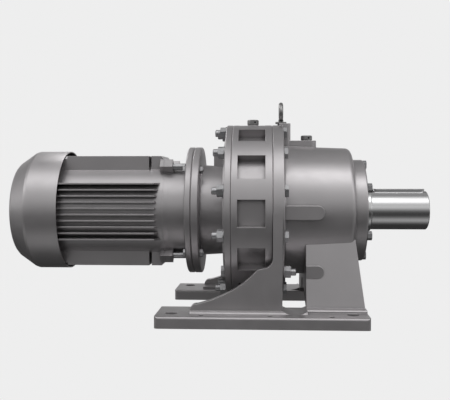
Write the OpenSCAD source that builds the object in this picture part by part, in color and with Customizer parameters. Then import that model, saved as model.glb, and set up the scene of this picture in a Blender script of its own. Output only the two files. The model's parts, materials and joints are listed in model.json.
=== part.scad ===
// Foot-mounted cycloidal gear-motor, single stage, ratio 17.
// Origin: centre of the foot-hole pattern, on the underside of the feet.
// +X points along the output shaft, +Z is up. All lengths in millimetres.

/* [Feet] */
// Height of the shaft axis above the underside of the feet
axis_h = 235; // [233:1:245]
// Length of each foot rail
rail_l = 444; // [440:2:480]
// Width of each foot rail
rail_w = 125; // [115:1:130]
// Thickness of each foot rail
rail_t = 25; // [22:1:28]
// Width over both rails
base_w = 480; // [476:1:490]
// Spacing of the foot holes along the shaft
foot_pitch_x = 380; // [370:5:400]
// Spacing of the foot holes across the shaft
foot_pitch_y = 400; // [396:1:402]
// Diameter of the foot holes
foot_hole_d = 26; // [18:1:30]
// Thickness of the leg walls
leg_t = 22; // [18:1:24]
// Thickness of the plates that run down from the casing flange
leg_plate_t = 20; // [16:1:24]
// Diameter of the jacking holes in the rails
jack_hole_d = 12; // [8:1:14]

/* [Gear housing] */
// Outer diameter of the ring, its covers and the casing flange
ring_d = 398; // [394:1:402]
// X position of the ring's input face
ring_x = -66; // [-67:1:-65]
// Width of the ring gear housing
ring_w = 89.5; // [88:0.5:91]
// Thickness of the casing flange
flange_t = 25; // [23:1:27]
// Diameter of the circle of tie bolts
tie_circle_d = 368; // [364:1:370]
// Diameter of the tie bolts
tie_d = 16; // [14:1:16]
// Number of tie bolts
tie_n = 12; // [12]
// Outer diameter of the barrel at the flange
barrel_d = 300; // [296:1:304]
// X position of the barrel's end face
barrel_end = 205; // [203:1:209]
// Thickness of the input cover at the tie bolts
cover_plate_t = 14.5; // [12:0.5:16]
// Floor diameter of the outside pockets in the ring
pocket_floor_d = 350; // [348:1:354]
// Width of the outside pockets in the ring
pocket_w = 58; // [50:1:60]

/* [Cycloidal stage] */
// Number of ring pins, one more than the lobes of a disc
ring_pin_n = 18; // [18]
// Diameter of the circle of ring pins
ring_pin_circle_d = 300; // [298:0.5:302]
// Diameter of a ring pin
ring_pin_d = 14; // [12:0.5:15]
// Outer diameter of a ring-pin sleeve
ring_sleeve_d = 22; // [21:0.5:23]
// Eccentricity of the discs
ecc = 4.5; // [4:0.1:5]
// Width of one cycloidal disc
disc_w = 28; // [24:1:29]
// Number of output pins
out_pin_n = 10; // [10]
// Diameter of the circle of output pins
out_pin_circle_d = 190; // [186:1:194]
// Diameter of an output pin
out_pin_d = 18; // [16:0.5:19]
// Outer diameter of an output-pin roller
out_roller_d = 28; // [26:0.5:30]
// Diameter of the eccentric drums
drum_d = 84; // [80:1:88]
// Diameter of the eccentric bearing rollers
drum_roller_d = 16; // [14:0.5:16]

/* [Output shaft] */
// Diameter of the output shaft extension
shaft_d = 90; // [80:1:92]
// Length of the output shaft extension
shaft_l = 131; // [110:1:150]
// Width of the output key
key_w = 25; // [22:1:28]
// Depth of the output keyway
keyway_depth = 9; // [7:0.5:10]

/* [Motor] */
// Diameter of the motor flange
motor_flange_d = 296; // [292:1:300]
// Diameter of the circle of motor flange bolts
motor_bolt_circle_d = 265; // [262:1:267]
// Diameter of the motor frame between its fins
frame_d = 224; // [222:1:226]
// Height of the flat pads above and below the axis
pad_h = 126; // [124:1:128]
// Half width of the flat pads
pad_half_w = 62; // [58:1:64]
// Number of fins on each side
fin_n = 10; // [8:1:12]
// Thickness of a fin
fin_t = 3.5; // [3:0.5:4.5]
// Distance of the fin tips from the axis plane
fin_reach = 119; // [117:1:120]
// Outer diameter of the fan cowl
cowl_d = 277; // [276:1:280]
// Sheet thickness of the fan cowl
cowl_t = 2; // [1.5:0.25:2.25]
// Diameter of the motor shaft in the input shaft
motor_shaft_d = 38; // [36:1:39]

/* [Fits] */
// Radial clearance of a stationary fit
fit_gap = 0.02; // [0.01:0.01:0.05]
// Radial clearance of a running fit
run_gap = 0.1; // [0.05:0.01:0.12]
// Clearance on the flanks of the cycloidal discs
flank_gap = 0.25; // [0.2:0.01:0.3]
// Radial clearance of a bolt in its hole
bolt_gap = 0.5; // [0.3:0.1:0.8]

/* [Hidden] */
$fn = 96;
eps = 1;
cast_grey = [0.46, 0.46, 0.47];
dark_grey = [0.30, 0.30, 0.31];
zinc = [0.80, 0.81, 0.82];
steel = [0.70, 0.70, 0.72];
bright_steel = [0.86, 0.86, 0.87];
rubber = [0.12, 0.12, 0.12];
copper = [0.72, 0.40, 0.22];
brass = [0.75, 0.62, 0.32];
alloy = [0.62, 0.63, 0.65];

// Main radii and stations along X
ring_r = ring_d / 2;
ring_end = ring_x + ring_w;
flange_end = ring_end + flange_t;
barrel_r = barrel_d / 2;
barrel_tip_r = barrel_r - 5;
barrel_corner = 13;
bowl_r = 136;
bore_r = 132;
tie_r = tie_d / 2;
plate_x = ring_x - cover_plate_t;
tie_circle_r = tie_circle_d / 2;
rail_inner = base_w / 2 - rail_w;
rail_y = (base_w - rail_w) / 2;

// Cycloidal stage
pin_circle_r = ring_pin_circle_d / 2;
ring_pin_r = ring_pin_d / 2;
sleeve_r = ring_sleeve_d / 2;
lobes = ring_pin_n - 1;
collar_t = 8;
disc_gap = 4;
disc_a_x = ring_x + 14;
disc_b_x = disc_a_x + disc_w + disc_gap;
out_circle_r = out_pin_circle_d / 2;
out_pin_r = out_pin_d / 2;
out_roller_r = out_roller_d / 2;
drum_r = drum_d / 2;
drum_roller_r = drum_roller_d / 2;
drum_roller_n = 14;
drum_roller_circle_r = drum_r + drum_roller_r + run_gap / 2;
disc_bore_r = drum_r + drum_roller_d + run_gap * 3 / 2;
points_per_lobe = 24;

// Output shaft stations and radii
shaft_r = shaft_d / 2;
journal_r = 50;
cover_end = barrel_end + 29;
shaft_start = cover_end + 18;
shaft_end = shaft_start + shaft_l;
flange_x0 = disc_b_x + disc_w + 6;
flange_x1 = flange_x0 + 26;
flange_disc_r = out_circle_r + 18;
// Bearings: x start, width, bore radius, outside radius
rear_bearing = [flange_x1 + 10, 36, 55, 100];
front_bearing = [barrel_end - 38, 34, 52.5, 95];
pilot_bearing = [flange_x0 + 3, 18, 20, 40];
input_bearing = [-104, 21, 27.5, 50];
drive_bearing = [-203, 18, 20, 40];
fan_bearing = [-490, 18, 20, 40];

// Input side
neck_x = -139;
adapter_x = -156;
neck_r = 106;
motor_shaft_r = motor_shaft_d / 2;
input_journal_r = 30;
drum_seat_r = 22;
input_start = -150;

// Motor stations along X
motor_flange_r = motor_flange_d / 2;
shield_x = -222;
shield_r = 110;
frame_end = -478;
frame_r = frame_d / 2;
stator_r = 105;
core_x0 = -420;
core_x1 = -270;
fin_end = -239;
pad_end = -259;
cowl_rim = -454.6;
cowl_end = -572;
cowl_r = cowl_d / 2;
cowl_shoulder = -528;
cowl_end_r = 110;
lug_y = 66;
lug_h = 101;
cowl_screw_angles = [0, 80, -80];
cowl_screw_x = -484;

// Terminal box on the far side of the motor
box_x = -345;
box_half_l = 58;
box_half_h = 50;
box_y0 = 121;
box_y1 = 168;
gasket_t = 2;
lid_t = 12;

// Points of an arc, as a list of [x, y]
function arc(cx, cy, r, a0, a1, n) =
  [for (i = [0:n]) let(a = a0 + (a1 - a0) * i / n) [cx + r * cos(a), cy + r * sin(a)]];

// Point of a cubic curve through four control points
function cubic(a, b, c, d, t) =
  a * pow(1 - t, 3) + 3 * b * pow(1 - t, 2) * t + 3 * c * (1 - t) * t * t + d * pow(t, 3);

// Path of a ring pin's centre as the disc sees it
function pin_path(a) = [
  pin_circle_r * cos(a) - ecc * cos(ring_pin_n * a),
  pin_circle_r * sin(a) - ecc * sin(ring_pin_n * a)
];

// Outward direction of that path
function pin_path_normal(a) =
  let(
    tx = -pin_circle_r * sin(a) + ring_pin_n * ecc * sin(ring_pin_n * a),
    ty = pin_circle_r * cos(a) - ring_pin_n * ecc * cos(ring_pin_n * a)
  ) [ty, -tx] / norm([tx, ty]);

// Flank of a disc: the pin path moved inward by the sleeve radius
function disc_outline() = [
  for (i = [0:lobes * points_per_lobe - 1])
    let(a = 360 * i / (lobes * points_per_lobe))
    pin_path(a) - (sleeve_r + flank_gap) * pin_path_normal(a)
];

// Puts local Z along +X at shaft height, local X along +Y, local Y along +Z
module on_axis() {
  translate([0, 0, axis_h]) rotate([90, 0, 90]) children();
}

// Solid of revolution from [x, radius] points, its seam at an angle from +Y
module turned(points, seam = 0) {
  on_axis() rotate(seam) rotate_extrude() polygon([for (p = points) [p[1], p[0]]]);
}

// Cylinder on the shaft axis
module drum(x0, x1, r) {
  on_axis() translate([0, 0, x0]) cylinder(r = r, h = x1 - x0);
}

// Ring on the shaft axis
module hoop(x0, x1, r0, r1) {
  difference() {
    drum(x0, x1, r1);
    drum(x0 - eps, x1 + eps, r0);
  }
}

// Children repeated n times round the shaft, at radius r, first at angle a0
module around(n, r, a0 = 0) {
  on_axis() for (i = [0:n - 1]) rotate(a0 + 360 * i / n) translate([r, 0, 0]) children();
}

// Cylinder between two stations in the local frame of around()
module rod(x0, x1, r) {
  translate([0, 0, x0]) cylinder(r = r, h = x1 - x0);
}

// Hexagon prism between two stations, by its width across flats
module hexagon(x0, x1, flats) {
  translate([0, 0, x0]) cylinder(d = flats / cos(30), h = x1 - x0, $fn = 6);
}

// Both sides of the machine, mirrored in the XZ plane
module both_sides() {
  for (side = [0, 1]) mirror([0, side, 0]) children();
}

// Prism along Y from an outline of [x, z] points
module wall(y0, y1, outline) {
  translate([0, y1, 0]) rotate([90, 0, 0]) linear_extrude(y1 - y0) polygon(outline);
}

// Prism along X from an outline of [y, z] points
module section(x0, x1, outline) {
  translate([x0, 0, 0]) rotate([90, 0, 90]) linear_extrude(x1 - x0) polygon(outline);
}

// Bearings from [x, width, bore radius, outside radius]
function ball_r(b) = (b[3] - b[2]) * 0.3;
function ball_circle_r(b) = (b[3] + b[2]) / 2;
function ball_count(b) = floor(2 * PI * ball_circle_r(b) / (2.5 * ball_r(b)));

module race_groove(b) {
  on_axis() translate([0, 0, b[0] + b[1] / 2]) rotate_extrude()
    translate([ball_circle_r(b), 0]) circle(r = ball_r(b) + run_gap);
}

module outer_ring(b) {
  difference() {
    hoop(b[0], b[0] + b[1], ball_circle_r(b) + ball_r(b) * 0.45, b[3] - fit_gap);
    race_groove(b);
  }
}

module inner_ring(b) {
  difference() {
    hoop(b[0], b[0] + b[1], b[2] + fit_gap, ball_circle_r(b) - ball_r(b) * 0.45);
    race_groove(b);
  }
}

module balls(b) {
  around(ball_count(b), ball_circle_r(b)) translate([0, 0, b[0] + b[1] / 2])
    sphere(r = ball_r(b), $fn = 32);
}

// ---- Casing with feet ----

rail_edge_r = 5;
plinth_h = 6;
plinth_z = rail_t + plinth_h;
window_x0 = ring_end + leg_plate_t;
window_x1 = 96;
left_leg_y = ring_r;
nose_x = -151;
right_leg_x1 = rail_l / 2;
right_leg_y = 157;
right_leg_top_y = 128.5;
right_leg_top_z = axis_h - 60;
web_t = 16;
web_bottom = 42;
pad_w = 30;
top_pad_h = 163;
top_pad_end = 127;
side_pad_reach = 158;
side_pad_end = 135;
boss_half_w = 17.5;
boss_start = 40;
boss_end = 66.5;
boss_corner = 5.5;
boss_h = 203;
eye_x = 44.5;
eye_seat = axis_h + boss_h;
hub_wall = 12;
cover_r = 118;
cover_bolt_circle_r = 106;
cover_bolt_n = 6;
cover_bolt_r = 5;
drain_x = 160;

module rail() {
  half_l = rail_l / 2;
  corner = 8;
  intersection() {
    section(-half_l, half_l, concat(
      [[rail_inner, 0], [base_w / 2, 0]],
      arc(base_w / 2 - rail_edge_r, rail_t - rail_edge_r, rail_edge_r, 0, 90, 6),
      arc(rail_inner + rail_edge_r, rail_t - rail_edge_r, rail_edge_r, 90, 180, 6)
    ));
    linear_extrude(rail_t) polygon(concat(
      arc(half_l - corner, base_w / 2 - corner, corner, 0, 90, 6),
      arc(corner - half_l, base_w / 2 - corner, corner, 90, 180, 6),
      arc(corner - half_l, rail_inner + corner, corner, 180, 270, 6),
      arc(half_l - corner, rail_inner + corner, corner, 270, 360, 6)
    ));
  }
}

// Low plinth that carries the legs, with a trough below the window
module plinth() {
  left_reach = 213;
  right_reach = 185;
  edge = 5;
  trough_r = 57;
  difference() {
    union() {
      section(nose_x, window_x1, concat(
        [[rail_inner + 20, rail_t - eps], [left_reach, rail_t - eps]],
        [for (p = arc(left_reach, plinth_z, plinth_h, 270, 180, 6)) p],
        [[rail_inner + 20, plinth_z]]
      ));
      section(window_x1, right_leg_x1, [
        [rail_inner + 14, rail_t - eps], [right_reach, rail_t - eps],
        [right_reach, plinth_z - edge / 2], [right_reach - edge / 2, plinth_z],
        [rail_inner + 14, plinth_z]
      ]);
    }
    translate([(window_x0 + window_x1) / 2, 0, rail_t + trough_r]) rotate([-90, 0, 0])
      cylinder(r = trough_r, h = base_w / 2);
  }
}

// Outline of the input-side leg wall: shelf under the ring, curve down to a nose
module left_leg() {
  shelf_z = 117;
  fillet = 20;
  curve = [[-9, shelf_z], [-44, 76], [-92, 55], [-136, 44]];
  wall(left_leg_y - leg_t, left_leg_y, concat(
    [[ring_end + eps, rail_t - eps], [ring_end + eps, shelf_z + fillet + 3]],
    arc(ring_end - fillet, shelf_z + fillet + 3, fillet, 0, -90, 6),
    [for (i = [0:12]) cubic(curve[0], curve[1], curve[2], curve[3], i / 12)],
    arc(nose_x + 12, rail_t + 7, 12, 95, 180, 5),
    [[nose_x, rail_t - eps]]
  ));
}

// Flange plate that runs straight down from the ring to the feet
module left_plate() {
  section(ring_end, window_x0, [
    [rail_inner + 8, rail_t - eps], [left_leg_y, rail_t - eps], [left_leg_y, axis_h],
    [left_leg_y - 60, axis_h], [rail_inner + 8, axis_h - 120]
  ]);
}

// Slanted wall under the output end, with its cross web
module right_leg() {
  slope = (right_leg_y - right_leg_top_y) / (right_leg_top_z - plinth_z);
  foot_y = right_leg_y + slope * (plinth_h + eps);
  foot_z = rail_t - eps;
  intersection() {
    union() {
      section(window_x1, right_leg_x1 + eps, [
        [foot_y, foot_z], [right_leg_top_y, right_leg_top_z],
        [right_leg_top_y - leg_t, right_leg_top_z], [foot_y - leg_t, foot_z]
      ]);
      section(window_x1, window_x1 + web_t, concat(
        [[-eps, right_leg_top_z], [-eps, web_bottom + 34]],
        arc(0, web_bottom - 66, 100, 90, 42, 6),
        [[foot_y - 10, foot_z], [right_leg_top_y, right_leg_top_z]]
      ));
    }
    wall(-eps, base_w, [
      [window_x1, foot_z], [right_leg_x1, foot_z],
      [barrel_end - 1.5, right_leg_top_z], [window_x1, right_leg_top_z]
    ]);
  }
}

// Vertical-faced round-ended pad on the slanted wall
module leg_pad() {
  pad_r = 13.3;
  pad_x = 134 - pad_r;
  pad_z = 106.5;
  face = 147;
  translate([0, face, 0]) rotate([90, 0, 0]) linear_extrude(18) {
    translate([pad_x, pad_z]) circle(r = pad_r);
    translate([window_x1, pad_z - pad_r]) square([pad_x - window_x1, 2 * pad_r]);
  }
}

// Flat pad with a rounded end that stands out of the barrel, in around()'s frame
module barrel_pad(x1, reach) {
  root = bore_r + 8;
  rotate([0, 90, 0]) translate([0, 0, root]) linear_extrude(reach - root) {
    translate([-x1 + pad_w / 2, 0]) circle(d = pad_w);
    translate([-x1 + pad_w / 2, -pad_w / 2]) square([x1 - pad_w / 2 - ring_end - 2, pad_w]);
  }
}

module casing_skin() {
  corner = arc(barrel_end - barrel_corner, barrel_tip_r - barrel_corner, barrel_corner, 90, 0, 8);
  turned(concat(
    [[ring_end, 60], [ring_end, ring_r - 1.5], [ring_end + 1.5, ring_r],
     [flange_end - 2, ring_r], [flange_end, ring_r - 2], [flange_end, barrel_r + 4],
     [flange_end + 4, barrel_r]],
    corner, [[barrel_end, 60]]
  ));
}

module casing_bores() {
  seat_r = rear_bearing[3];
  seat_front = front_bearing[3];
  lip = 8;
  rear_end = rear_bearing[0] + rear_bearing[1];
  turned([
    [ring_end - eps, 0], [ring_end - eps, bowl_r], [flange_end - 4, bowl_r],
    [flange_end - 4, seat_r], [rear_end, seat_r], [rear_end, seat_r - lip],
    [rear_end + 4, seat_r - lip], [rear_end + 4, bore_r], [barrel_end - 24, bore_r],
    [barrel_end - 24, seat_front + hub_wall], [front_bearing[0] - 4, seat_front + hub_wall],
    [front_bearing[0] - 4, seat_front - lip], [front_bearing[0], seat_front - lip],
    [front_bearing[0], seat_front], [barrel_end + eps, seat_front], [barrel_end + eps, 0]
  ]);
  hoop(flange_end - 5, 62, seat_r + hub_wall, bore_r);
}

module casing() {
  color(cast_grey) difference() {
    union() {
      casing_skin();
      both_sides() {
        rail();
        plinth();
        left_leg();
        left_plate();
        right_leg();
        leg_pad();
      }
      on_axis() {
        rotate(90) barrel_pad(top_pad_end, top_pad_h);
        rotate(0) barrel_pad(side_pad_end, side_pad_reach);
        rotate(180) barrel_pad(side_pad_end, side_pad_reach);
      }
      translate([0, 0, axis_h + barrel_r - 6]) linear_extrude(boss_h - barrel_r + 6) polygon([
        [boss_start, -boss_half_w], [boss_end - boss_corner, -boss_half_w],
        [boss_end, boss_corner - boss_half_w], [boss_end, boss_half_w - boss_corner],
        [boss_end - boss_corner, boss_half_w], [boss_start, boss_half_w]
      ]);
    }
    casing_bores();
    around(tie_n, tie_circle_r, 15) rod(ring_end - eps, flange_end + eps, tie_r + bolt_gap);
    around(cover_bolt_n, cover_bolt_circle_r, 90)
      rod(barrel_end - 22, barrel_end + eps, cover_bolt_r + fit_gap);
    for (sx = [-1, 1], sy = [-1, 1])
      translate([sx * foot_pitch_x / 2, sy * foot_pitch_y / 2, -eps])
        cylinder(d = foot_hole_d, h = rail_t + plinth_h + 2 * eps);
    both_sides() for (p = [[-126, 220], [17, 220], [144, 226]])
      translate([p[0], p[1], rail_t - 12]) cylinder(d = jack_hole_d, h = 20);
    translate([eye_x, 0, eye_seat - 26]) cylinder(r = 8 + fit_gap, h = 26 + eps);
    translate([filler_x, 0, axis_h + bore_r - 8])
      cylinder(r = plug_stem_r + fit_gap, h = top_pad_h - bore_r + 10);
    translate([drain_x, 0, axis_h - barrel_r - 10])
      cylinder(r = drain_stem_r + fit_gap, h = 40);
  }
}

// ---- Ring gear housing and its covers ----

vent_x = -21;
filler_x = top_pad_end - 22.5;
plug_stem_r = 9;
drain_stem_r = 9;
vent_seat = ring_r + 1;

// Box of one outside pocket, as seen from above the ring
module ring_pocket() {
  pocket_x0 = ring_x + 14;
  pocket_x1 = ring_end - 16;
  floor_r = pocket_floor_d / 2;
  translate([floor_r, -pocket_w / 2, pocket_x0]) cube([40, pocket_w, pocket_x1 - pocket_x0]);
}

module ring_gear_housing() {
  collar_r = pin_circle_r - 0.8;
  relief_r = pin_circle_r + sleeve_r + 2;
  color(cast_grey) difference() {
    union() {
      difference() {
        turned([
          [ring_x, collar_r], [ring_x, ring_r - 1.5], [ring_x + 1.5, ring_r],
          [ring_end - 1.5, ring_r], [ring_end, ring_r - 1.5], [ring_end, collar_r]
        ]);
        around(tie_n, 0) ring_pocket();
      }
      on_axis() translate([0, 0, vent_x]) rotate([-90, 0, 0])
        translate([0, 0, relief_r + 4]) cylinder(d = 26, h = vent_seat - relief_r - 4);
    }
    turned([
      [ring_x + collar_t, 0], [ring_x + collar_t, relief_r], [ring_end - collar_t, relief_r],
      [ring_end - collar_t, 0]
    ]);
    around(ring_pin_n, pin_circle_r)
      rod(ring_x + eps / 2, ring_end - eps / 2, ring_pin_r + fit_gap);
    around(tie_n, tie_circle_r, 15) rod(ring_x - eps, ring_end + eps, tie_r + bolt_gap);
    on_axis() translate([0, 0, vent_x]) rotate([-90, 0, 0])
      translate([0, 0, vent_seat - 30]) cylinder(r = plug_stem_r + fit_gap, h = 30 + eps);
  }
}

module ring_pins() {
  color(steel) around(ring_pin_n, pin_circle_r) rod(ring_x + eps, ring_end - eps, ring_pin_r);
}

module ring_pin_sleeves() {
  color(bright_steel) around(ring_pin_n, pin_circle_r) difference() {
    rod(ring_x + collar_t + 1, ring_end - collar_t - 1, sleeve_r);
    rod(ring_x, ring_end, ring_pin_r + run_gap);
  }
}

module input_cover() {
  rim_r = tie_circle_r - washer_r - 3;
  hub_r = input_bearing[3] + hub_wall;
  hub_x = input_bearing[0] - 3;
  seat_end = input_bearing[0] + input_bearing[1];
  neck_in = neck_r - 12;
  color(cast_grey) difference() {
    union() {
      turned([
        [adapter_x, 60], [adapter_x, motor_flange_r - 2], [adapter_x + 2, motor_flange_r],
        [neck_x - 2, motor_flange_r], [neck_x, motor_flange_r - 2], [neck_x, neck_r + 2],
        [neck_x + 3, neck_r], [plate_x - 6, neck_r - 3], [plate_x - 4.5, neck_r],
        [plate_x - 4.5, rim_r], [plate_x, rim_r + 2], [plate_x, ring_r - 1.5],
        [plate_x + 1.5, ring_r], [ring_x - 1.5, ring_r], [ring_x, ring_r - 1.5], [ring_x, 60]
      ]);
      section(neck_x + 27, plate_x, [
        [-22, axis_h + 90], [22, axis_h + 90], [22, axis_h + 140], [-22, axis_h + 140]
      ]);
    }
    difference() {
      turned([
        [adapter_x - eps, 0], [adapter_x - eps, 115], [adapter_x + 6, 115],
        [adapter_x + 6, neck_in], [plate_x, neck_in], [plate_x, 0]
      ]);
      drum(hub_x, plate_x + eps, hub_r);
    }
    drum(hub_x - eps, seat_end, input_bearing[3]);
    drum(hub_x - eps, ring_x + eps, input_journal_r + 6);
    drum(seal_x, ring_x + eps, input_seal_r);
    turned([
      [ring_x - 4, 0], [ring_x - 4, pin_circle_r - 12], [ring_x + eps, pin_circle_r - 12],
      [ring_x + eps, 0]
    ]);
    around(tie_n, tie_circle_r, 15) rod(plate_x - 10, ring_x + eps, tie_r + bolt_gap);
    around(4, motor_bolt_circle_d / 2, 45)
      rod(adapter_x - eps, neck_x + eps, flange_bolt_r + bolt_gap);
  }
}

input_seal_r = 45;
seal_x = -79;

module input_oil_seal() {
  color(rubber) hoop(seal_x, seal_x + 9, input_journal_r + 0.05, input_seal_r - fit_gap);
}

// ---- Tie bolts and plugs ----

bolt_head_h = 8.5;
bolt_end_l = 26.5;
nut_flats = 24;
nut_h = 13;
washer_t = 2;
washer_r = 15;
half_grip = (flange_end - plate_x) / 2;

// Children at each tie bolt, with z = 0 halfway along its grip. The bolts beside
// the leg windows are put in from the motor side.
module at_tie_bolts() {
  on_axis() for (a = [15:360 / tie_n:359]) rotate(a)
    translate([tie_circle_r, 0, plate_x + half_grip])
      mirror([0, 0, abs(a - 270) == 45 ? 1 : 0]) children();
}

// Hexagon with its corners chamfered at both ends
module bevelled_hexagon(x0, x1, flats) {
  h = x1 - x0;
  corner = flats * 0.53;
  intersection() {
    hexagon(x0, x1, flats);
    translate([0, 0, x0]) cylinder(r1 = corner, r2 = corner + h, h = h);
    translate([0, 0, x0]) cylinder(r1 = corner + h, r2 = corner, h = h);
  }
}

module tie_bolts() {
  tip = 1.5;
  end_x = -half_grip - bolt_end_l;
  color(zinc) at_tie_bolts() {
    bevelled_hexagon(half_grip, half_grip + bolt_head_h, nut_flats);
    rod(end_x + tip, half_grip + eps, tie_r);
    translate([0, 0, end_x]) cylinder(r1 = tie_r - tip, r2 = tie_r, h = tip);
  }
}

module tie_nuts() {
  nut_x = -half_grip - washer_t - nut_h;
  color(zinc) at_tie_bolts() difference() {
    bevelled_hexagon(nut_x, nut_x + nut_h, nut_flats);
    rod(nut_x - eps, nut_x + nut_h + eps, tie_r + fit_gap);
  }
}

module tie_washers() {
  color(zinc) at_tie_bolts() difference() {
    rod(-half_grip - washer_t, -half_grip, washer_r);
    rod(-half_grip - washer_t - eps, eps - half_grip, tie_r + bolt_gap);
  }
}

module eye_bolt() {
  collar_h = 4;
  eye_r = 18;
  wire_r = 5;
  translate([eye_x, 0, eye_seat]) color(dark_grey) {
    translate([0, 0, -25]) cylinder(r = 8, h = 25 + eps);
    cylinder(r = 13, h = collar_h);
    translate([0, 0, collar_h]) cylinder(r = wire_r + 1, h = wire_r);
    translate([0, 0, collar_h + wire_r + eye_r]) rotate([0, 90, 0]) rotate_extrude()
      translate([eye_r, 0]) circle(r = wire_r, $fn = 32);
  }
}

// Round-headed plug with a blind hole in its side, its seat at z = 0
module round_plug(head_r, head_h, stem_l) {
  difference() {
    union() {
      cylinder(r = head_r - 1.5, h = 1.5);
      translate([0, 0, 1.5]) cylinder(r = head_r, h = head_h - 3);
      translate([0, 0, head_h - 1.5]) cylinder(r1 = head_r, r2 = head_r - 1.5, h = 1.5);
      translate([0, 0, -stem_l]) cylinder(r = plug_stem_r, h = stem_l + eps);
    }
    translate([head_r * 0.35, -head_r - eps, head_h / 2]) rotate([-90, 0, 0])
      cylinder(r = 2.2, h = head_r + eps);
  }
}

module vent_plug() {
  color(dark_grey) translate([vent_x, 0, axis_h + vent_seat]) round_plug(13.5, 12, 26);
}

module filler_plug() {
  color(dark_grey) translate([filler_x, 0, axis_h + top_pad_h]) round_plug(13.2, 12, 26);
}

module drain_plug() {
  head_h = 9;
  seat_z = axis_h - barrel_r - 2;
  color(dark_grey) translate([drain_x, 0, seat_z]) {
    translate([0, 0, -head_h]) cylinder(d = 24 / cos(30), h = head_h, $fn = 6);
    translate([0, 0, -head_h / 2]) cylinder(r = drain_stem_r, h = 22);
  }
}

// ---- Output end ----

output_seal_r = 65;
output_seal_w = 12;

module output_cover() {
  rim = 4;
  spigot = front_bearing[3] - fit_gap;
  color(cast_grey) difference() {
    turned(concat(
      [[barrel_end - 4, spigot - 14], [barrel_end - 4, spigot], [barrel_end, spigot],
       [barrel_end, cover_r]],
      arc(cover_end - rim, cover_r - rim, rim, 90, 0, 5),
      [[cover_end, journal_r + 3], [barrel_end + 5, journal_r + 3]]
    ));
    drum(cover_end - output_seal_w - 3, cover_end + eps, output_seal_r);
    around(cover_bolt_n, cover_bolt_circle_r, 90)
      rod(barrel_end - eps, cover_end + eps, cover_bolt_r + bolt_gap);
  }
}

module output_cover_bolts() {
  head_h = 10;
  color(zinc) around(cover_bolt_n, cover_bolt_circle_r, 90) {
    hexagon(cover_end, cover_end + head_h, 18);
    rod(barrel_end - 20, cover_end + eps, cover_bolt_r);
  }
}

module output_oil_seal() {
  x0 = cover_end - output_seal_w - 3;
  color(rubber) hoop(x0, x0 + output_seal_w, journal_r + 0.05, output_seal_r - fit_gap);
}

module rear_bearing_outer_ring() {
  color(steel) outer_ring(rear_bearing);
}

module rear_bearing_inner_ring() {
  color(steel) inner_ring(rear_bearing);
}

module rear_bearing_balls() {
  color(bright_steel) balls(rear_bearing);
}

module front_bearing_outer_ring() {
  color(steel) outer_ring(front_bearing);
}

module front_bearing_inner_ring() {
  color(steel) inner_ring(front_bearing);
}

module front_bearing_balls() {
  color(bright_steel) balls(front_bearing);
}

module output_shaft() {
  chamfer = 2;
  rear_end = rear_bearing[0] + rear_bearing[1];
  color(bright_steel) difference() {
    turned([
      [flange_x0, 0], [flange_x0, flange_disc_r - 2], [flange_x0 + 2, flange_disc_r],
      [flange_x1 - 2, flange_disc_r], [flange_x1, flange_disc_r - 2], [flange_x1, 68],
      [rear_bearing[0], 68], [rear_bearing[0], rear_bearing[2]], [rear_end, rear_bearing[2]],
      [rear_end, rear_bearing[2] - 0.5], [front_bearing[0], rear_bearing[2] - 0.5],
      [front_bearing[0], front_bearing[2]], [barrel_end, front_bearing[2]],
      [barrel_end, journal_r], [shaft_start - chamfer, journal_r],
      [shaft_start, journal_r - chamfer], [shaft_start, shaft_r],
      [shaft_end - chamfer, shaft_r], [shaft_end, shaft_r - chamfer], [shaft_end, 0]
    ], seam = 90);
    drum(flange_x0 - eps, pilot_bearing[0] + pilot_bearing[1], pilot_bearing[3]);
    drum(flange_x0 - eps, pilot_bearing[0] + pilot_bearing[1] + 8, pilot_bearing[2] + 8);
    around(out_pin_n, out_circle_r) rod(flange_x0 - eps, flange_x1 + eps, out_pin_r + fit_gap);
    output_keyway();
    drum(shaft_end - 28, shaft_end + eps, 10);
  }
}

// Round-ended keyway on top of the shaft extension
module output_keyway() {
  slot_x0 = shaft_start + 4 + key_w / 2;
  slot_x1 = shaft_end - 4 - key_w / 2;
  translate([0, 0, axis_h + shaft_r - keyway_depth]) {
    for (x = [slot_x0, slot_x1]) translate([x, 0, 0]) cylinder(d = key_w, h = shaft_r);
    translate([slot_x0, -key_w / 2, 0]) cube([slot_x1 - slot_x0, key_w, shaft_r]);
  }
}

// ---- Cycloidal stage ----

module output_pins() {
  color(steel) around(out_pin_n, out_circle_r) rod(disc_a_x - 3, flange_x1, out_pin_r);
}

module output_pin_rollers() {
  color(bright_steel) around(out_pin_n, out_circle_r) difference() {
    rod(disc_a_x - 1, disc_b_x + disc_w + 1, out_roller_r);
    rod(disc_a_x - 2, disc_b_x + disc_w + 2, out_pin_r + run_gap);
  }
}

// One disc in its own frame, its bore at the origin
module cycloid_disc() {
  hole_r = out_roller_r + ecc + 0.15;
  difference() {
    linear_extrude(disc_w) polygon(disc_outline());
    translate([0, 0, -eps]) cylinder(r = disc_bore_r, h = disc_w + 2 * eps);
    for (i = [0:out_pin_n - 1]) rotate(360 * i / out_pin_n)
      translate([out_circle_r, 0, -eps]) cylinder(r = hole_r, h = disc_w + 2 * eps);
  }
}

module cycloid_disc_a() {
  color(steel) on_axis() translate([ecc, 0, disc_a_x]) cycloid_disc();
}

module cycloid_disc_b() {
  color(steel) on_axis() rotate(180) translate([ecc, 0, disc_b_x]) cycloid_disc();
}

module eccentric_sleeve() {
  color(steel) difference() {
    union() {
      on_axis() {
        translate([ecc, 0, 0]) rod(disc_a_x - 1, disc_a_x + disc_w + 1, drum_r);
        translate([-ecc, 0, 0]) rod(disc_b_x - 1, disc_b_x + disc_w + 1, drum_r);
      }
      drum(disc_a_x - 3, disc_b_x + disc_w + 3, drum_r - 10);
    }
    drum(disc_a_x - 4, disc_b_x + disc_w + 4, drum_seat_r + fit_gap);
    eccentric_key_box(fit_gap);
  }
}

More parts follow.
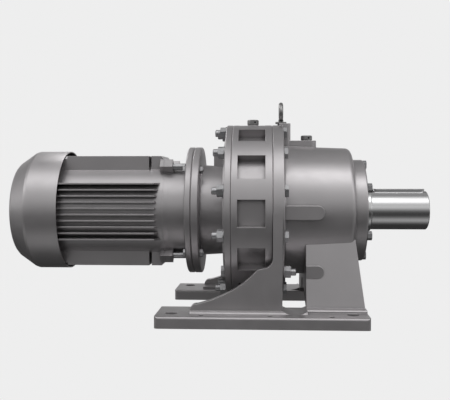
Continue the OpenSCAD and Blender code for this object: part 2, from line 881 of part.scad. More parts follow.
module eccentric_key_box(gap) {
  translate([disc_a_x + 4, -5 - gap, axis_h + drum_seat_r - 4])
    cube([2 * disc_w - 4, 10 + 2 * gap, 7 + gap]);
}

module eccentric_key() {
  color(steel) eccentric_key_box(0);
}

module eccentric_rollers() {
  color(bright_steel) on_axis() for (row = [[ecc, disc_a_x], [-ecc, disc_b_x]])
    for (i = [0:drum_roller_n - 1])
      translate([row[0], 0, 0]) rotate(360 * i / drum_roller_n)
        translate([drum_roller_circle_r, 0, 0]) rod(row[1] + 2, row[1] + disc_w - 2, drum_roller_r);
}

module input_shaft() {
  shoulder = input_bearing[0] + input_bearing[1];
  pilot_end = pilot_bearing[0] + pilot_bearing[1];
  color(steel) difference() {
    turned([
      [input_start, 0], [input_start, input_bearing[2] - 0.3],
      [input_bearing[0], input_bearing[2] - 0.3], [input_bearing[0], input_bearing[2]],
      [shoulder, input_bearing[2]], [shoulder, input_journal_r],
      [disc_a_x - 3, input_journal_r], [disc_a_x - 3, drum_seat_r],
      [pilot_bearing[0], drum_seat_r], [pilot_bearing[0], pilot_bearing[2]],
      [pilot_end, pilot_bearing[2]], [pilot_end, 0]
    ]);
    drum(input_start - eps, -88, motor_shaft_r + fit_gap);
    motor_key_box(fit_gap, input_start - eps, -96);
    eccentric_key_box(fit_gap);
  }
}

module motor_key_box(gap, x0, x1) {
  translate([x0, -5 - gap, axis_h + motor_shaft_r - 5]) cube([x1 - x0, 10 + 2 * gap, 8 + gap]);
}

module motor_shaft_key() {
  color(steel) motor_key_box(0, -148, -100);
}

module input_bearing_outer_ring() {
  color(steel) outer_ring(input_bearing);
}

module input_bearing_inner_ring() {
  color(steel) inner_ring(input_bearing);
}

module input_bearing_balls() {
  color(bright_steel) balls(input_bearing);
}

module pilot_bearing_outer_ring() {
  color(steel) outer_ring(pilot_bearing);
}

module pilot_bearing_inner_ring() {
  color(steel) inner_ring(pilot_bearing);
}

module pilot_bearing_balls() {
  color(bright_steel) balls(pilot_bearing);
}

// ---- Motor ----

flange_bolt_r = 5;
flange_bolt_flats = 16;
flange_nut_h = 7;
flange_back_x = -170;
shield_bolt_r = 5;
lug_side = 24;
lug_l = 19.5;
frame_lug_l = 9.5;
lug_gap = 0.3;

// Four square lugs, set on edge, at the ends of the shield and of the frame
module corner_lugs(x0, x1) {
  for (sy = [-1, 1], sh = [-1, 1]) translate([x0, sy * lug_y, axis_h + sh * lug_h])
    rotate([45, 0, 0]) translate([0, -lug_side / 2, -lug_side / 2])
      cube([x1 - x0, lug_side, lug_side]);
}

// Block on the frame or shield, above and below the axis, from x0 to x1
module pad_blocks(x0, x1, h) {
  for (side = [0, 180]) on_axis() rotate(side)
    translate([-pad_half_w, 60, x0]) cube([2 * pad_half_w, h - 60, x1 - x0]);
}

module drive_end_shield() {
  wall_x = -182;
  hub_r = drive_bearing[3] + 11;
  inner_r = shield_r - 12;
  color(cast_grey) difference() {
    union() {
      turned(concat(
        [[shield_x - 6, 70], [shield_x - 6, stator_r - 0.2], [shield_x, stator_r - 0.2],
         [shield_x, frame_r], [shield_x + 10, shield_r],
         [flange_back_x - 3, shield_r], [flange_back_x, shield_r + 3],
         [flange_back_x, motor_flange_r - 2], [flange_back_x + 2, motor_flange_r],
         [adapter_x - 2, motor_flange_r], [adapter_x, motor_flange_r - 2],
         [adapter_x, 115 - fit_gap], [adapter_x + 5, 115 - fit_gap], [adapter_x + 5, 70]]
      ));
      corner_lugs(shield_x, shield_x + lug_l);
    }
    difference() {
      turned([
        [shield_x - 7, 0], [shield_x - 7, inner_r], [wall_x, inner_r], [wall_x, 0]
      ]);
      drum(drive_bearing[0] - 3, wall_x + eps, hub_r);
    }
    drum(drive_bearing[0] - 4, drive_bearing[0] + drive_bearing[1], drive_bearing[3]);
    drum(drive_bearing[0] - 4, adapter_x + 6, 32);
    drum(flange_back_x + 4, adapter_x + 6, 90);
    around(4, motor_bolt_circle_d / 2, 45)
      rod(flange_back_x - eps, adapter_x + eps, flange_bolt_r + bolt_gap);
    for (sy = [-1, 1], sh = [-1, 1]) translate([shield_x - eps, sy * lug_y, axis_h + sh * lug_h])
      rotate([0, 90, 0]) cylinder(r = shield_bolt_r + bolt_gap, h = lug_l + 2 * eps);
  }
}

module shield_bolts() {
  head_x = shield_x + lug_l;
  shank_l = lug_l + frame_lug_l - 0.5;
  color(zinc) for (sy = [-1, 1], sh = [-1, 1])
    translate([head_x, sy * lug_y, axis_h + sh * lug_h]) rotate([0, 90, 0]) difference() {
      union() {
        cylinder(r = 7.5, h = 28);
        translate([0, 0, -shank_l]) cylinder(r = shield_bolt_r, h = shank_l + eps);
      }
      translate([0, 0, 21]) cylinder(d = 9.2, h = 10, $fn = 6);
    }
}

module motor_flange_bolts() {
  head_h = 6.5;
  color(zinc) around(4, motor_bolt_circle_d / 2, 45) {
    hexagon(flange_back_x - head_h, flange_back_x, flange_bolt_flats);
    rod(flange_back_x - eps, neck_x + flange_nut_h + 1.5, flange_bolt_r);
  }
}

module motor_flange_nuts() {
  color(zinc) around(4, motor_bolt_circle_d / 2, 45) difference() {
    hexagon(neck_x, neck_x + flange_nut_h, flange_bolt_flats);
    rod(neck_x - eps, neck_x + flange_nut_h + eps, flange_bolt_r + fit_gap);
  }
}

module motor_frame() {
  pad_trim_x = cowl_rim + 6;
  fin_start = frame_end + 8;
  fin_span = 125;
  block_x = -253.5;
  block_half_w = lug_y - shield_bolt_r - 1.5;
  fin_pitch = fin_span / (fin_n - 1);
  color(cast_grey) difference() {
    union() {
      drum(frame_end, shield_x, frame_r);
      pad_blocks(pad_trim_x, pad_end, pad_h);
      intersection() {
        pad_blocks(fin_start, pad_trim_x + eps, pad_h);
        drum(fin_start - eps, pad_trim_x + 2 * eps, cowl_r - cowl_t - 1.2);
      }
      for (s = [-1, 1]) wall(-block_half_w, block_half_w, [
        [block_x, axis_h + s * 60], [shield_x, axis_h + s * 60],
        [shield_x, axis_h + s * (pad_h - 11)], [shield_x - 8.5, axis_h + s * pad_h],
        [block_x, axis_h + s * pad_h]
      ]);
      corner_lugs(shield_x - frame_lug_l, shield_x - lug_gap);
      both_sides() for (i = [0:fin_n - 1])
        translate([0, 0, axis_h - fin_span / 2 + i * fin_pitch - fin_t / 2]) linear_extrude(fin_t)
          polygon([
            [fin_start, 85], [fin_start, fin_reach], [fin_end, fin_reach], [fin_end + 13, 85]
          ]);
      translate([box_x - box_half_l + 6, 95, axis_h - box_half_h + 6])
        cube([2 * box_half_l - 12, box_y0 - 95, 2 * box_half_h - 12]);
    }
    drum(frame_end - eps, shield_x + eps, stator_r);
    translate([box_x, 90, axis_h]) rotate([-90, 0, 0]) cylinder(r = 14, h = box_y0 - 90 + eps);
    for (sy = [-1, 1], sh = [-1, 1]) translate([shield_x - frame_lug_l - eps, 0, axis_h])
      translate([0, sy * lug_y, sh * lug_h]) rotate([0, 90, 0])
        cylinder(r = shield_bolt_r + fit_gap, h = frame_lug_l + 2 * eps);
  }
}

module stator_core() {
  slot_n = 24;
  bore = 68.5;
  color(dark_grey) difference() {
    hoop(core_x0, core_x1, bore, stator_r - fit_gap);
    around(slot_n, bore + 14) translate([-10, -4, core_x0 - eps])
      cube([20, 8, core_x1 - core_x0 + 2 * eps]);
  }
}

// End turns at both ends of the core
module stator_windings() {
  turn_l = 32;
  turn_r0 = 74;
  turn_r1 = 98;
  color(copper) for (x0 = [core_x0 - turn_l - fit_gap, core_x1 + fit_gap]) turned(concat(
    arc(x0 + 6, turn_r0 + 6, 6, 180, 270, 4), arc(x0 + turn_l - 6, turn_r0 + 6, 6, 270, 360, 4),
    arc(x0 + turn_l - 6, turn_r1 - 6, 6, 0, 90, 4), arc(x0 + 6, turn_r1 - 6, 6, 90, 180, 4)
  ));
}

rotor_seat_r = 24;

module rotor_core() {
  end_ring_l = 14;
  color(alloy) difference() {
    union() {
      drum(core_x0, core_x1, 68);
      drum(core_x0 - end_ring_l, core_x1 + end_ring_l, 62);
    }
    drum(core_x0 - end_ring_l - eps, core_x1 + end_ring_l + eps, rotor_seat_r + fit_gap);
    for (x0 = [core_x0 - end_ring_l - eps, core_x1]) hoop(x0, x0 + end_ring_l + eps, rotor_seat_r - 1, 44);
  }
}

fan_seat_r = 16;
fan_x0 = -548;
fan_x1 = -508;

module motor_shaft() {
  fan_inner = fan_bearing[0] + fan_bearing[1];
  drive_outer = drive_bearing[0] + drive_bearing[1];
  color(steel) difference() {
    turned([
      [fan_x0 - 4, 0], [fan_x0 - 4, fan_seat_r], [fan_bearing[0] - 8, fan_seat_r],
      [fan_bearing[0] - 8, fan_bearing[2]], [fan_inner, fan_bearing[2]],
      [fan_inner, rotor_seat_r], [drive_bearing[0], rotor_seat_r],
      [drive_bearing[0], drive_bearing[2]], [drive_outer, drive_bearing[2]],
      [drive_outer, motor_shaft_r], [-90, motor_shaft_r], [-89, motor_shaft_r - 1], [-89, 0]
    ]);
    motor_key_box(fit_gap, -149, -99);
  }
}

module motor_bearing_outer_rings() {
  color(steel) {
    outer_ring(drive_bearing);
    outer_ring(fan_bearing);
  }
}

module motor_bearing_inner_rings() {
  color(steel) {
    inner_ring(drive_bearing);
    inner_ring(fan_bearing);
  }
}

module motor_bearing_balls() {
  color(bright_steel) {
    balls(drive_bearing);
    balls(fan_bearing);
  }
}

module fan_end_shield() {
  plate_t = 12;
  hub_r = fan_bearing[3] + 11;
  screw_r = 3;
  ear_r = cowl_r - cowl_t - fit_gap;
  color(cast_grey) difference() {
    union() {
      drum(frame_end - plate_t, frame_end, frame_r);
      drum(frame_end - eps, frame_end + 6, stator_r - 0.2);
      drum(fan_bearing[0] - 4, fan_bearing[0] + fan_bearing[1] + 3, hub_r);
      on_axis() for (a = cowl_screw_angles) rotate(a) intersection() {
        translate([60, -14, frame_end - plate_t]) cube([90, 28, plate_t]);
        rod(frame_end - plate_t - eps, frame_end + eps, ear_r);
      }
    }
    drum(fan_bearing[0] - 5, fan_bearing[0] + fan_bearing[1] + 4, 32);
    drum(fan_bearing[0], fan_bearing[0] + fan_bearing[1] + 4, fan_bearing[3]);
    hoop(frame_end - eps, frame_end + 7, hub_r, stator_r - 10);
    on_axis() for (a = cowl_screw_angles) rotate(a) translate([0, 0, cowl_screw_x])
      rotate([0, 90, 0]) translate([0, 0, cowl_r - 16]) cylinder(r = screw_r + fit_gap, h = 20);
  }
}

module cooling_fan() {
  hub_r = 28;
  blade_n = 8;
  blade_tip = 112;
  color(rubber) difference() {
    union() {
      drum(fan_x0, fan_x1, hub_r);
      drum(fan_x1 - 4, fan_x1, 78);
      around(blade_n, hub_r - 4) translate([0, -1.75, fan_x0])
        cube([blade_tip - hub_r + 4, 3.5, fan_x1 - fan_x0]);
    }
    drum(fan_x0 - eps, fan_x1 + eps, fan_seat_r + fit_gap);
  }
}

// Radial rows of round-ended slots in the end of the cowl
module grille_slots() {
  for (row = [[16, 24, 40], [24, 50, 70], [24, 80, 95]])
    around(row[0], 0) translate([0, 0, cowl_end - eps]) linear_extrude(cowl_t + 2 * eps) {
      half_w = 2.5;
      translate([row[1], -half_w]) square([row[2] - row[1], 2 * half_w]);
      for (r = [row[1], row[2]]) translate([r, 0]) circle(r = half_w, $fn = 24);
    }
}

module fan_cowl() {
  round_r = 8;
  inner_shoulder = cowl_shoulder + 0.7;
  color(cast_grey) difference() {
    turned([
      [cowl_end, 0], [cowl_end, cowl_end_r - round_r], [cowl_end + 2, cowl_end_r - 2],
      [cowl_end + 7, cowl_end_r + 3.5], [cowl_shoulder - 3, cowl_r - 1.9],
      [cowl_shoulder + 3, cowl_r], [cowl_rim, cowl_r], [cowl_rim, cowl_r - cowl_t],
      [inner_shoulder, cowl_r - cowl_t], [cowl_end + 9, cowl_end_r + 1.5],
      [cowl_end + cowl_t + 2, cowl_end_r - 3.5], [cowl_end + cowl_t, cowl_end_r - round_r],
      [cowl_end + cowl_t, 0]
    ]);
    grille_slots();
    on_axis() for (a = cowl_screw_angles) rotate(a) translate([0, 0, cowl_screw_x])
      rotate([0, 90, 0]) translate([0, 0, cowl_r - 8]) cylinder(r = 3.5, h = 20);
  }
}

module cowl_screws() {
  color(zinc) on_axis() for (a = cowl_screw_angles) rotate(a) translate([0, 0, cowl_screw_x])
    rotate([0, 90, 0]) {
      translate([0, 0, cowl_r - 14]) cylinder(r = 3, h = 15);
      translate([0, 0, cowl_r]) cylinder(r1 = 6, r2 = 4, h = 2.5);
    }
}

// ---- Terminal box ----

// Box centred on the motor's far side, from y0 to y1
module far_block(half_l, half_h, y0, y1) {
  translate([box_x - half_l, y0, axis_h - half_h]) cube([2 * half_l, y1 - y0, 2 * half_h]);
}

module terminal_box() {
  wall_t = 5;
  color(cast_grey) difference() {
    far_block(box_half_l, box_half_h, box_y0, box_y1);
    far_block(box_half_l - wall_t, box_half_h - wall_t, box_y0 + wall_t, box_y1 + eps);
    translate([box_x, box_y0 - eps, axis_h]) rotate([-90, 0, 0]) cylinder(r = 14, h = wall_t + 2 * eps);
    for (s = [-1, 1]) translate([box_x + s * 24, (box_y0 + box_y1) / 2, axis_h - box_half_h - eps])
      cylinder(r = 12.5 + fit_gap, h = wall_t + 2 * eps);
  }
}

module terminal_gasket() {
  color(rubber) difference() {
    far_block(box_half_l, box_half_h, box_y1, box_y1 + gasket_t);
    far_block(box_half_l - 5, box_half_h - 5, box_y1 - eps, box_y1 + gasket_t + eps);
  }
}

module terminal_box_lid() {
  y0 = box_y1 + gasket_t;
  color(cast_grey) difference() {
    union() {
      far_block(box_half_l, box_half_h, y0, y0 + lid_t / 2);
      far_block(box_half_l - 6, box_half_h - 6, y0, y0 + lid_t);
    }
    far_block(box_half_l - 10, box_half_h - 10, y0 - eps, y0 + lid_t / 2);
  }
}

module terminal_lid_screws() {
  y0 = box_y1 + gasket_t + lid_t / 2;
  color(zinc) for (sx = [-1, 1], sz = [-1, 1])
    translate([box_x + sx * (box_half_l - 3), y0, axis_h + sz * (box_half_h - 3)])
      rotate([-90, 0, 0]) cylinder(r = 2.8, h = 3);
}

module cable_glands() {
  color(brass) for (s = [-1, 1])
    translate([box_x + s * 24, (box_y0 + box_y1) / 2, axis_h - box_half_h]) difference() {
      union() {
        translate([0, 0, -10]) cylinder(d = 32 / cos(30), h = 10, $fn = 6);
        translate([0, 0, -22]) cylinder(r = 13, h = 12);
        cylinder(r = 12.5, h = 8);
      }
      translate([0, 0, -18]) cylinder(r = 8, h = 40);
    }
}

casing();
ring_gear_housing();
ring_pins();
ring_pin_sleeves();
input_cover();
tie_bolts();
tie_nuts();
tie_washers();
eye_bolt();
vent_plug();
filler_plug();
drain_plug();
output_cover();
output_cover_bolts();
output_oil_seal();
rear_bearing_outer_ring();
rear_bearing_inner_ring();
rear_bearing_balls();
front_bearing_outer_ring();
front_bearing_inner_ring();
front_bearing_balls();
output_shaft();
output_pins();
output_pin_rollers();
cycloid_disc_a();
cycloid_disc_b();
eccentric_sleeve();
eccentric_rollers();
eccentric_key();
input_shaft();
input_oil_seal();
input_bearing_outer_ring();
input_bearing_inner_ring();
input_bearing_balls();
pilot_bearing_outer_ring();
pilot_bearing_inner_ring();
pilot_bearing_balls();
drive_end_shield();
shield_bolts();
motor_flange_bolts();
motor_flange_nuts();
motor_frame();
stator_core();
stator_windings();
rotor_core();
motor_shaft();
motor_shaft_key();
motor_bearing_outer_rings();
motor_bearing_inner_rings();
motor_bearing_balls();
fan_end_shield();
cooling_fan();
fan_cowl();
cowl_screws();
terminal_box();
terminal_gasket();
terminal_box_lid();
terminal_lid_screws();
cable_glands();
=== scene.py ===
import json
import math

import bmesh
import bpy
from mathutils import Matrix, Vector


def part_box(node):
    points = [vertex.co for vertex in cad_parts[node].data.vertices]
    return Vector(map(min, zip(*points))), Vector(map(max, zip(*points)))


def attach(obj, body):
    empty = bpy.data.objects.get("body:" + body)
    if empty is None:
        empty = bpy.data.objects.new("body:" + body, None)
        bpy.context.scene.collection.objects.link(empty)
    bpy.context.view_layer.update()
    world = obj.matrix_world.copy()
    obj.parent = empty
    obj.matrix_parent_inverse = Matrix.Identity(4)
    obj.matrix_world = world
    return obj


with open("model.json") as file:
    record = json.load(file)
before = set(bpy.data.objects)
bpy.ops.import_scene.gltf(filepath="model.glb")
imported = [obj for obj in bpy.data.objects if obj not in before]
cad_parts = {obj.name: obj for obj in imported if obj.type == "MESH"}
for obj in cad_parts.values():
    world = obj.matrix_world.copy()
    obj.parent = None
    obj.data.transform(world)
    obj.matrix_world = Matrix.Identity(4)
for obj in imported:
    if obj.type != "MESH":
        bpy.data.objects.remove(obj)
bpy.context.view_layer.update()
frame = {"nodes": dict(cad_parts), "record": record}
shaftHeight = 0.235  # axis of the shafts above the feet

# ---- camera ----
cameraSetup = {"place": (0.0013, -1.672, 0.3036), "yaw": 0.053, "tilt": 0.027, "lens": 56.44}


def makeCamera(setup):
    data = bpy.data.cameras.new("productCamera")
    data.lens = setup["lens"]
    data.sensor_width = 36
    camera = bpy.data.objects.new("productCamera", data)
    camera.location = setup["place"]
    camera.rotation_euler = (math.pi / 2 - setup["tilt"], 0, setup["yaw"])
    bpy.context.scene.collection.objects.link(camera)
    bpy.context.scene.camera = camera


makeCamera(cameraSetup)
print("camera placed")


# ---- small helpers for node materials ----
def newMaterial(name):
    material = bpy.data.materials.new(name)
    material.use_nodes = True
    tree = material.node_tree
    shader = tree.nodes["Principled BSDF"]
    return material, tree, shader


def addNode(tree, kind, **values):
    node = tree.nodes.new(kind)
    for key, value in values.items():
        setattr(node, key, value)
    return node


def fineNoise(tree, scale, detail=3.0, stretch=(1, 1, 1)):
    # noise in object space, stretch turns it into brushed or turned marks
    place = addNode(tree, "ShaderNodeTexCoord")
    mapping = addNode(tree, "ShaderNodeMapping")
    mapping.inputs["Scale"].default_value = stretch
    noise = addNode(tree, "ShaderNodeTexNoise")
    noise.inputs["Scale"].default_value = scale
    noise.inputs["Detail"].default_value = detail
    tree.links.new(place.outputs["Object"], mapping.inputs["Vector"])
    tree.links.new(mapping.outputs["Vector"], noise.inputs["Vector"])
    return noise.outputs["Fac"]


def ramp(tree, source, low, high, fromLow=0.3, fromHigh=0.7):
    # maps a grey value to a range
    node = addNode(tree, "ShaderNodeMapRange")
    node.inputs["From Min"].default_value = fromLow
    node.inputs["From Max"].default_value = fromHigh
    node.inputs["To Min"].default_value = low
    node.inputs["To Max"].default_value = high
    tree.links.new(source, node.inputs["Value"])
    return node.outputs["Result"]


def mixColours(tree, factor, first, second):
    node = addNode(tree, "ShaderNodeMix", data_type="RGBA")
    tree.links.new(factor, node.inputs["Factor"])
    for socket, value in ((6, first), (7, second)):
        if isinstance(value, bpy.types.NodeSocket):
            tree.links.new(value, node.inputs[socket])
        else:
            node.inputs[socket].default_value = (*value, 1)
    return node.outputs[2]


def softEdges(tree, radius):
    # normal that rounds the sharp corners of machined and cast parts
    node = addNode(tree, "ShaderNodeBevel", samples=6)
    node.inputs["Radius"].default_value = radius
    return node.outputs["Normal"]


def bumpFrom(tree, height, strength, distance, normal=None):
    node = addNode(tree, "ShaderNodeBump")
    node.inputs["Strength"].default_value = strength
    node.inputs["Distance"].default_value = distance
    tree.links.new(height, node.inputs["Height"])
    if normal is not None:
        tree.links.new(normal, node.inputs["Normal"])
    return node.outputs["Normal"]


def edgeWearAndHighlightMask(tree, rounded):
    # 1 on the rounded corners, 0 on the flats; these corners get a lighter colour, partly wear and partly
    # painted highlight
    plain = addNode(tree, "ShaderNodeNewGeometry")
    dot = addNode(tree, "ShaderNodeVectorMath", operation="DOT_PRODUCT")
    tree.links.new(rounded, dot.inputs[0])
    tree.links.new(plain.outputs["Normal"], dot.inputs[1])
    return ramp(tree, dot.outputs["Value"], 1, 0, 0.86, 0.995)


def shadeAndGrimeMask(tree, distance):
    # 1 in the open, less in corners and creases: there the paint gets painted shade, with dust
    node = addNode(tree, "ShaderNodeAmbientOcclusion", samples=8)
    node.inputs["Distance"].default_value = distance
    return node.outputs["AO"]


# ---- machine enamel ----
castPaint = {
    # the lighter edge colour is partly wear and partly painted highlight
    "colour": (0.50, 0.482, 0.490), "shade": (0.46, 0.444, 0.452), "wornAndHighlight": (0.56, 0.541, 0.549),
    # the dark corner colour is painted shade with grime, laid into corners and creases
    "cornerShadeAndGrime": (0.13, 0.127, 0.127), "roughness": (0.36, 0.42), "metallic": 0.85,
    "cloud": 9, "patches": 60, "shadeAndDustReach": 0.012,  # noise scales, and how far the painted corner shade and dust reach out of corners
    "grain": 420, "grainDepth": 0.00006, "edge": 0.0014,
}
sheetPaint = dict(castPaint, colour=(0.54, 0.521, 0.529), shade=(0.50, 0.482, 0.490),
                  grain=900, grainDepth=0.00003, edge=0.001)


def makePaint(name, look):
    material, tree, shader = newMaterial(name)
    rounded = softEdges(tree, look["edge"])
    cloud = fineNoise(tree, look["cloud"], 4)
    body = mixColours(tree, ramp(tree, cloud, 0, 1), look["colour"], look["shade"])
    # corners and creases painted darker: painted shade, with dust
    openness = ramp(tree, shadeAndGrimeMask(tree, look["shadeAndDustReach"]), 0, 1, 0.2, 0.8)
    shadedAndDusty = mixColours(tree, openness, look["cornerShadeAndGrime"], body)
    # rounded edges painted lighter: partly wear, partly painted highlight
    wornAndHighlight = mixColours(tree, edgeWearAndHighlightMask(tree, rounded), shadedAndDusty, look["wornAndHighlight"])
    tree.links.new(wornAndHighlight, shader.inputs["Base Color"])
    low, high = look["roughness"]
    patches = fineNoise(tree, look["patches"], 5)
    tree.links.new(ramp(tree, patches, low, high), shader.inputs["Roughness"])
    shader.inputs["Metallic"].default_value = look["metallic"]
    shader.inputs["Specular IOR Level"].default_value = 0.5
    grain = fineNoise(tree, look["grain"], 3)
    normal = bumpFrom(tree, grain, 0.5, look["grainDepth"], rounded)
    tree.links.new(normal, shader.inputs["Normal"])
    return material


# ---- bare and plated metals ----
metalLooks = {
    "zinc_plate": {
        "colours": ((0.56, 0.56, 0.57), (0.44, 0.44, 0.45)), "roughness": (0.34, 0.46),
        "stretch": (1, 1, 1), "scale": 260, "depth": 0.00003, "edge": 0.0007,
    },
    "black_steel": {
        "colours": ((0.36, 0.355, 0.355), (0.28, 0.276, 0.276)), "roughness": (0.34, 0.46),
        "stretch": (1, 1, 1), "scale": 350, "depth": 0.00003, "edge": 0.0008,
    },
    "ground_steel": {
        "colours": ((0.66, 0.66, 0.67), (0.58, 0.58, 0.60)), "roughness": (0.16, 0.26),
        "stretch": (40, 1, 1), "scale": 60, "depth": 0.00001, "edge": 0.0005,
    },
    "machined_steel": {
        "colours": ((0.78, 0.78, 0.78), (0.70, 0.70, 0.71)), "roughness": (0.16, 0.22),
        "stretch": (45, 1, 1), "scale": 70, "depth": 0.00002, "edge": 0.0009,
    },
    "laminated_iron": {
        "colours": ((0.22, 0.22, 0.23), (0.12, 0.12, 0.13)), "roughness": (0.42, 0.55),
        "stretch": (60, 0.5, 0.5), "scale": 40, "depth": 0.00010, "edge": 0.0004,
    },
    "cast_alloy": {
        "colours": ((0.60, 0.60, 0.61), (0.48, 0.48, 0.49)), "roughness": (0.40, 0.55),
        "stretch": (1, 1, 1), "scale": 300, "depth": 0.00010, "edge": 0.001,
    },
    "nickel_brass": {
        "colours": ((0.62, 0.56, 0.42), (0.52, 0.46, 0.33)), "roughness": (0.28, 0.38),
        "stretch": (1, 1, 1), "scale": 200, "depth": 0.00002, "edge": 0.0007,
    },
}


# near-black colour for the corners of bare metal: painted shade, with oil
oiledAndShadedCorner = {"colour": (0.05, 0.048, 0.046), "reach": 0.01}


def makeMetal(name, look):
    material, tree, shader = newMaterial(name)
    rounded = softEdges(tree, look["edge"])
    marks = fineNoise(tree, look["scale"], 4, look["stretch"])
    tone = mixColours(tree, ramp(tree, marks, 0, 1), *look["colours"])
    # corners painted darker: painted shade, with oil
    openness = ramp(tree, shadeAndGrimeMask(tree, oiledAndShadedCorner["reach"]), 0, 1, 0.1, 0.7)
    oiledAndShaded = mixColours(tree, openness, oiledAndShadedCorner["colour"], tone)
    tree.links.new(oiledAndShaded, shader.inputs["Base Color"])
    low, high = look["roughness"]
    tree.links.new(ramp(tree, marks, low, high), shader.inputs["Roughness"])
    shader.inputs["Metallic"].default_value = 1.0
    normal = bumpFrom(tree, marks, 0.4, look["depth"], rounded)
    tree.links.new(normal, shader.inputs["Normal"])
    return material


# ---- rubber, plastic and varnished copper ----
softLooks = {
    "black_rubber": {
        "colours": ((0.020, 0.020, 0.020), (0.035, 0.034, 0.033)), "roughness": (0.55, 0.75),
        "scale": 500, "depth": 0.00008,
    },
    "fan_plastic": {
        "colours": ((0.030, 0.030, 0.031), (0.045, 0.045, 0.045)), "roughness": (0.38, 0.52),
        "scale": 700, "depth": 0.00004,
    },
    "enamelled_copper": {
        "colours": ((0.42, 0.15, 0.05), (0.25, 0.08, 0.03)), "roughness": (0.25, 0.42),
        "scale": 240, "depth": 0.0006,
    },
}


def makeSoft(name, look):
    material, tree, shader = newMaterial(name)
    grain = fineNoise(tree, look["scale"], 3)
    tone = mixColours(tree, ramp(tree, fineNoise(tree, 25, 4), 0, 1), *look["colours"])
    tree.links.new(tone, shader.inputs["Base Color"])
    low, high = look["roughness"]
    tree.links.new(ramp(tree, grain, low, high), shader.inputs["Roughness"])
    tree.links.new(bumpFrom(tree, grain, 0.5, look["depth"]), shader.inputs["Normal"])
    return material


sheetNodes = {"fan_cowl", "terminal_box", "terminal_box_lid"}


def dressNodes():
    # every CAD node takes the finish of its slot
    finishes = {"machine_paint": makePaint("machine_paint_cast", castPaint)}
    sheet = makePaint("machine_paint_sheet", sheetPaint)
    for name, look in metalLooks.items():
        finishes[name] = makeMetal(name + "_finish", look)
    for name, look in softLooks.items():
        finishes[name] = makeSoft(name + "_finish", look)
    for part in frame["record"]["subparts"]:
        node = frame["nodes"][part["node"]]
        finish = sheet if part["node"] in sheetNodes else finishes[part["material_slot"]]
        if not node.material_slots:
            node.data.materials.append(finish)
        for slot in node.material_slots:
            slot.material = finish
    return finishes


finishes = dressNodes()
print("finishes on", len(frame["nodes"]), "nodes")

# ---- output key ----
keyShape = {
    "width": 0.0248, "proud": 0.0052, "depth": 0.0088, "inset": 0.0042, "rounding": 0.0007,
    "seatLength": 0.131, "seatRadius": 0.045,  # the shaft end that carries it
}


def roundEndedOutline(x0, x1, halfWidth, steps=16):
    points = []
    for centre, start in ((x1 - halfWidth, -90), (x0 + halfWidth, 90)):
        for i in range(steps + 1):
            angle = math.radians(start + 180 * i / steps)
            points.append((centre + halfWidth * math.cos(angle), halfWidth * math.sin(angle)))
    return points


def makeKey(shape):
    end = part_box("output_shaft")[1].x
    start = end - shape["seatLength"]
    top = shaftHeight + shape["seatRadius"] + shape["proud"]
    bottom = shaftHeight + shape["seatRadius"] - shape["depth"]
    outline = roundEndedOutline(start + shape["inset"], end - shape["inset"], shape["width"] / 2)
    mesh = bmesh.new()
    base = mesh.faces.new([mesh.verts.new((x, y, bottom)) for x, y in outline])
    raised = bmesh.ops.extrude_face_region(mesh, geom=[base])
    lift = [v for v in raised["geom"] if isinstance(v, bmesh.types.BMVert)]
    bmesh.ops.translate(mesh, vec=(0, 0, top - bottom), verts=lift)
    bmesh.ops.recalc_face_normals(mesh, faces=mesh.faces)
    data = bpy.data.meshes.new("output_key")
    mesh.to_mesh(data)
    mesh.free()
    key = bpy.data.objects.new("output_key", data)
    bpy.context.scene.collection.objects.link(key)
    rounding = key.modifiers.new("rounding", "BEVEL")
    rounding.width = shape["rounding"]
    rounding.segments = 2
    data.materials.append(finishes["machined_steel"])
    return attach(key, "output")


makeKey(keyShape)
print("key in its keyway")

# ---- studio ----
studio = {"brightness": 0.855, "radius": 9.0, "height": 7.0, "curve": 2.5, "columns": 96, "steps": 12}
skyStrips = {  # long soft strips along the machine: degrees above the front horizon, and strength
    "under": {"elevation": -60, "level": 7},
    "frontFloor": {"elevation": -25, "level": 0.1},
    "frontLow": {"elevation": 0, "level": 0.6},
    "frontEye": {"elevation": 22, "level": 11.8},
    "frontMiddle": {"elevation": 42, "level": 0.6},
    "frontHigh": {"elevation": 62, "level": 34},
    "overhead": {"elevation": 85, "level": 6},
    "backHigh": {"elevation": 120, "level": 6},
    "backLow": {"elevation": 168, "level": 12},
}
skySides = {"left": {"aim": (-1, 0, 0.2), "level": 1.0}, "right": {"aim": (1, 0, 0.2), "level": 1.0}}
softboxes = {  # panels close to the machine, power in watts
    "casingSoftbox": {"x": 0.23, "elevation": 61, "away": 0.50, "size": (0.32, 0.14), "power": 0.13},
    "motorSoftbox": {"x": -0.45, "elevation": 112, "away": 0.60, "size": (0.30, 0.24), "power": 0.9},
}
skyShape = {"stripTightness": 20, "sideTightness": 6, "everywhere": 0.7}


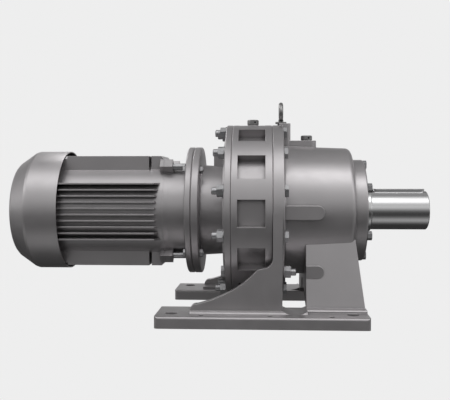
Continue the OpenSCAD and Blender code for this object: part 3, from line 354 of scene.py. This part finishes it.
def makeBackdrop(look):
    # floor that curves up all round into a plain wall
    rings = [(0.0, 0.0), (look["radius"] - look["curve"], 0.0)]
    for i in range(1, look["steps"] + 1):
        a = math.pi / 2 * i / look["steps"]
        rings.append((look["radius"] - look["curve"] * (1 - math.sin(a)), look["curve"] * (1 - math.cos(a))))
    rings.append((look["radius"], look["height"]))
    mesh = bmesh.new()
    around = look["columns"]
    columns = []
    centre = mesh.verts.new((0, 0, 0))
    for i in range(around):
        a = 2 * math.pi * i / around
        columns.append([mesh.verts.new((r * math.cos(a), r * math.sin(a), z)) for r, z in rings[1:]])
    for i, column in enumerate(columns):
        other = columns[(i + 1) % around]
        mesh.faces.new((centre, column[0], other[0]))
        for j in range(len(column) - 1):
            mesh.faces.new((column[j], column[j + 1], other[j + 1], other[j]))
    for face in mesh.faces:
        face.smooth = True
    data = bpy.data.meshes.new("studioBackdrop")
    mesh.to_mesh(data)
    mesh.free()
    backdrop = bpy.data.objects.new("studioBackdrop", data)
    bpy.context.scene.collection.objects.link(backdrop)
    material, tree, shader = newMaterial("studio_paper")
    shader.inputs["Base Color"].default_value = (0, 0, 0, 1)
    shader.inputs["Roughness"].default_value = 1.0
    shader.inputs["Specular IOR Level"].default_value = 0.0
    shader.inputs["Emission Color"].default_value = (1, 1, 1, 1)
    shader.inputs["Emission Strength"].default_value = look["brightness"]
    data.materials.append(material)
    backdrop.visible_diffuse = False
    backdrop.visible_glossy = False
    backdrop.visible_shadow = False


footShade = {"spacing": (0.38, 0.40), "radius": 0.0127, "lift": 0.0004}


def makeFootShade(look):
    # dark discs on the floor, inside the four foot holes: painted shade that darkens the holes
    mesh = bmesh.new()
    for x in (-look["spacing"][0] / 2, look["spacing"][0] / 2):
        for y in (-look["spacing"][1] / 2, look["spacing"][1] / 2):
            disc = bmesh.ops.create_circle(mesh, cap_ends=True, segments=32, radius=look["radius"])
            bmesh.ops.translate(mesh, verts=disc["verts"], vec=(x, y, look["lift"]))
    data = bpy.data.meshes.new("footShade")
    mesh.to_mesh(data)
    mesh.free()
    shade = bpy.data.objects.new("footShade", data)
    bpy.context.scene.collection.objects.link(shade)
    material, tree, shader = newMaterial("floor_shade")
    shader.inputs["Base Color"].default_value = (0.01, 0.01, 0.01, 1)
    shader.inputs["Roughness"].default_value = 1.0
    data.materials.append(material)


def makeSky(strips, sides, shape):
    # even light from all round, plus a glow for each strip and side
    world = bpy.data.worlds.new("studioSky")
    world.use_nodes = True
    bpy.context.scene.world = world
    tree = world.node_tree
    place = addNode(tree, "ShaderNodeTexCoord").outputs["Generated"]
    across = addNode(tree, "ShaderNodeVectorMath", operation="MULTIPLY")
    across.inputs[1].default_value = (0, 1, 1)
    tree.links.new(place, across.inputs[0])
    flat = addNode(tree, "ShaderNodeVectorMath", operation="NORMALIZE")
    tree.links.new(across.outputs["Vector"], flat.inputs[0])

    def addGlow(total, direction, aim, tightness, level):
        dot = addNode(tree, "ShaderNodeVectorMath", operation="DOT_PRODUCT")
        dot.inputs[1].default_value = Vector(aim).normalized()
        tree.links.new(direction, dot.inputs[0])
        facing = addNode(tree, "ShaderNodeMath", operation="MAXIMUM")
        facing.inputs[1].default_value = 0
        tree.links.new(dot.outputs["Value"], facing.inputs[0])
        glow = addNode(tree, "ShaderNodeMath", operation="POWER")
        glow.inputs[1].default_value = tightness
        tree.links.new(facing.outputs["Value"], glow.inputs[0])
        scaled = addNode(tree, "ShaderNodeMath", operation="MULTIPLY_ADD")
        scaled.inputs[1].default_value = level
        scaled.inputs[2].default_value = shape["everywhere"]  # only the first glow keeps this
        tree.links.new(glow.outputs["Value"], scaled.inputs[0])
        if total is not None:
            tree.links.new(total, scaled.inputs[2])
        return scaled.outputs["Value"]

    total = None
    for strip in strips.values():
        angle = math.radians(strip["elevation"])
        aim = (0, -math.cos(angle), math.sin(angle))
        total = addGlow(total, flat.outputs["Vector"], aim, shape["stripTightness"], strip["level"])
    for side in sides.values():
        total = addGlow(total, place, side["aim"], shape["sideTightness"], side["level"])
    tree.links.new(total, tree.nodes["Background"].inputs["Strength"])


def makeSoftbox(name, look):
    # panel that hangs beside the shaft line and faces it
    panel = bpy.data.lights.new(name, "AREA")
    panel.shape = "RECTANGLE"
    panel.size, panel.size_y = look["size"]
    panel.energy = look["power"]
    angle = math.radians(look["elevation"])
    aim = Vector((look["x"], 0, shaftHeight))
    box = bpy.data.objects.new(name, panel)
    box.location = aim + look["away"] * Vector((0, -math.cos(angle), math.sin(angle)))
    box.rotation_euler = (aim - box.location).to_track_quat("-Z", "Y").to_euler()
    box.visible_camera = False
    bpy.context.scene.collection.objects.link(box)


makeBackdrop(studio)
makeFootShade(footShade)
makeSky(skyStrips, skySides, skyShape)
for name, look in softboxes.items():
    makeSoftbox(name, look)
bpy.context.scene.view_settings.view_transform = "Standard"
print("studio lit")
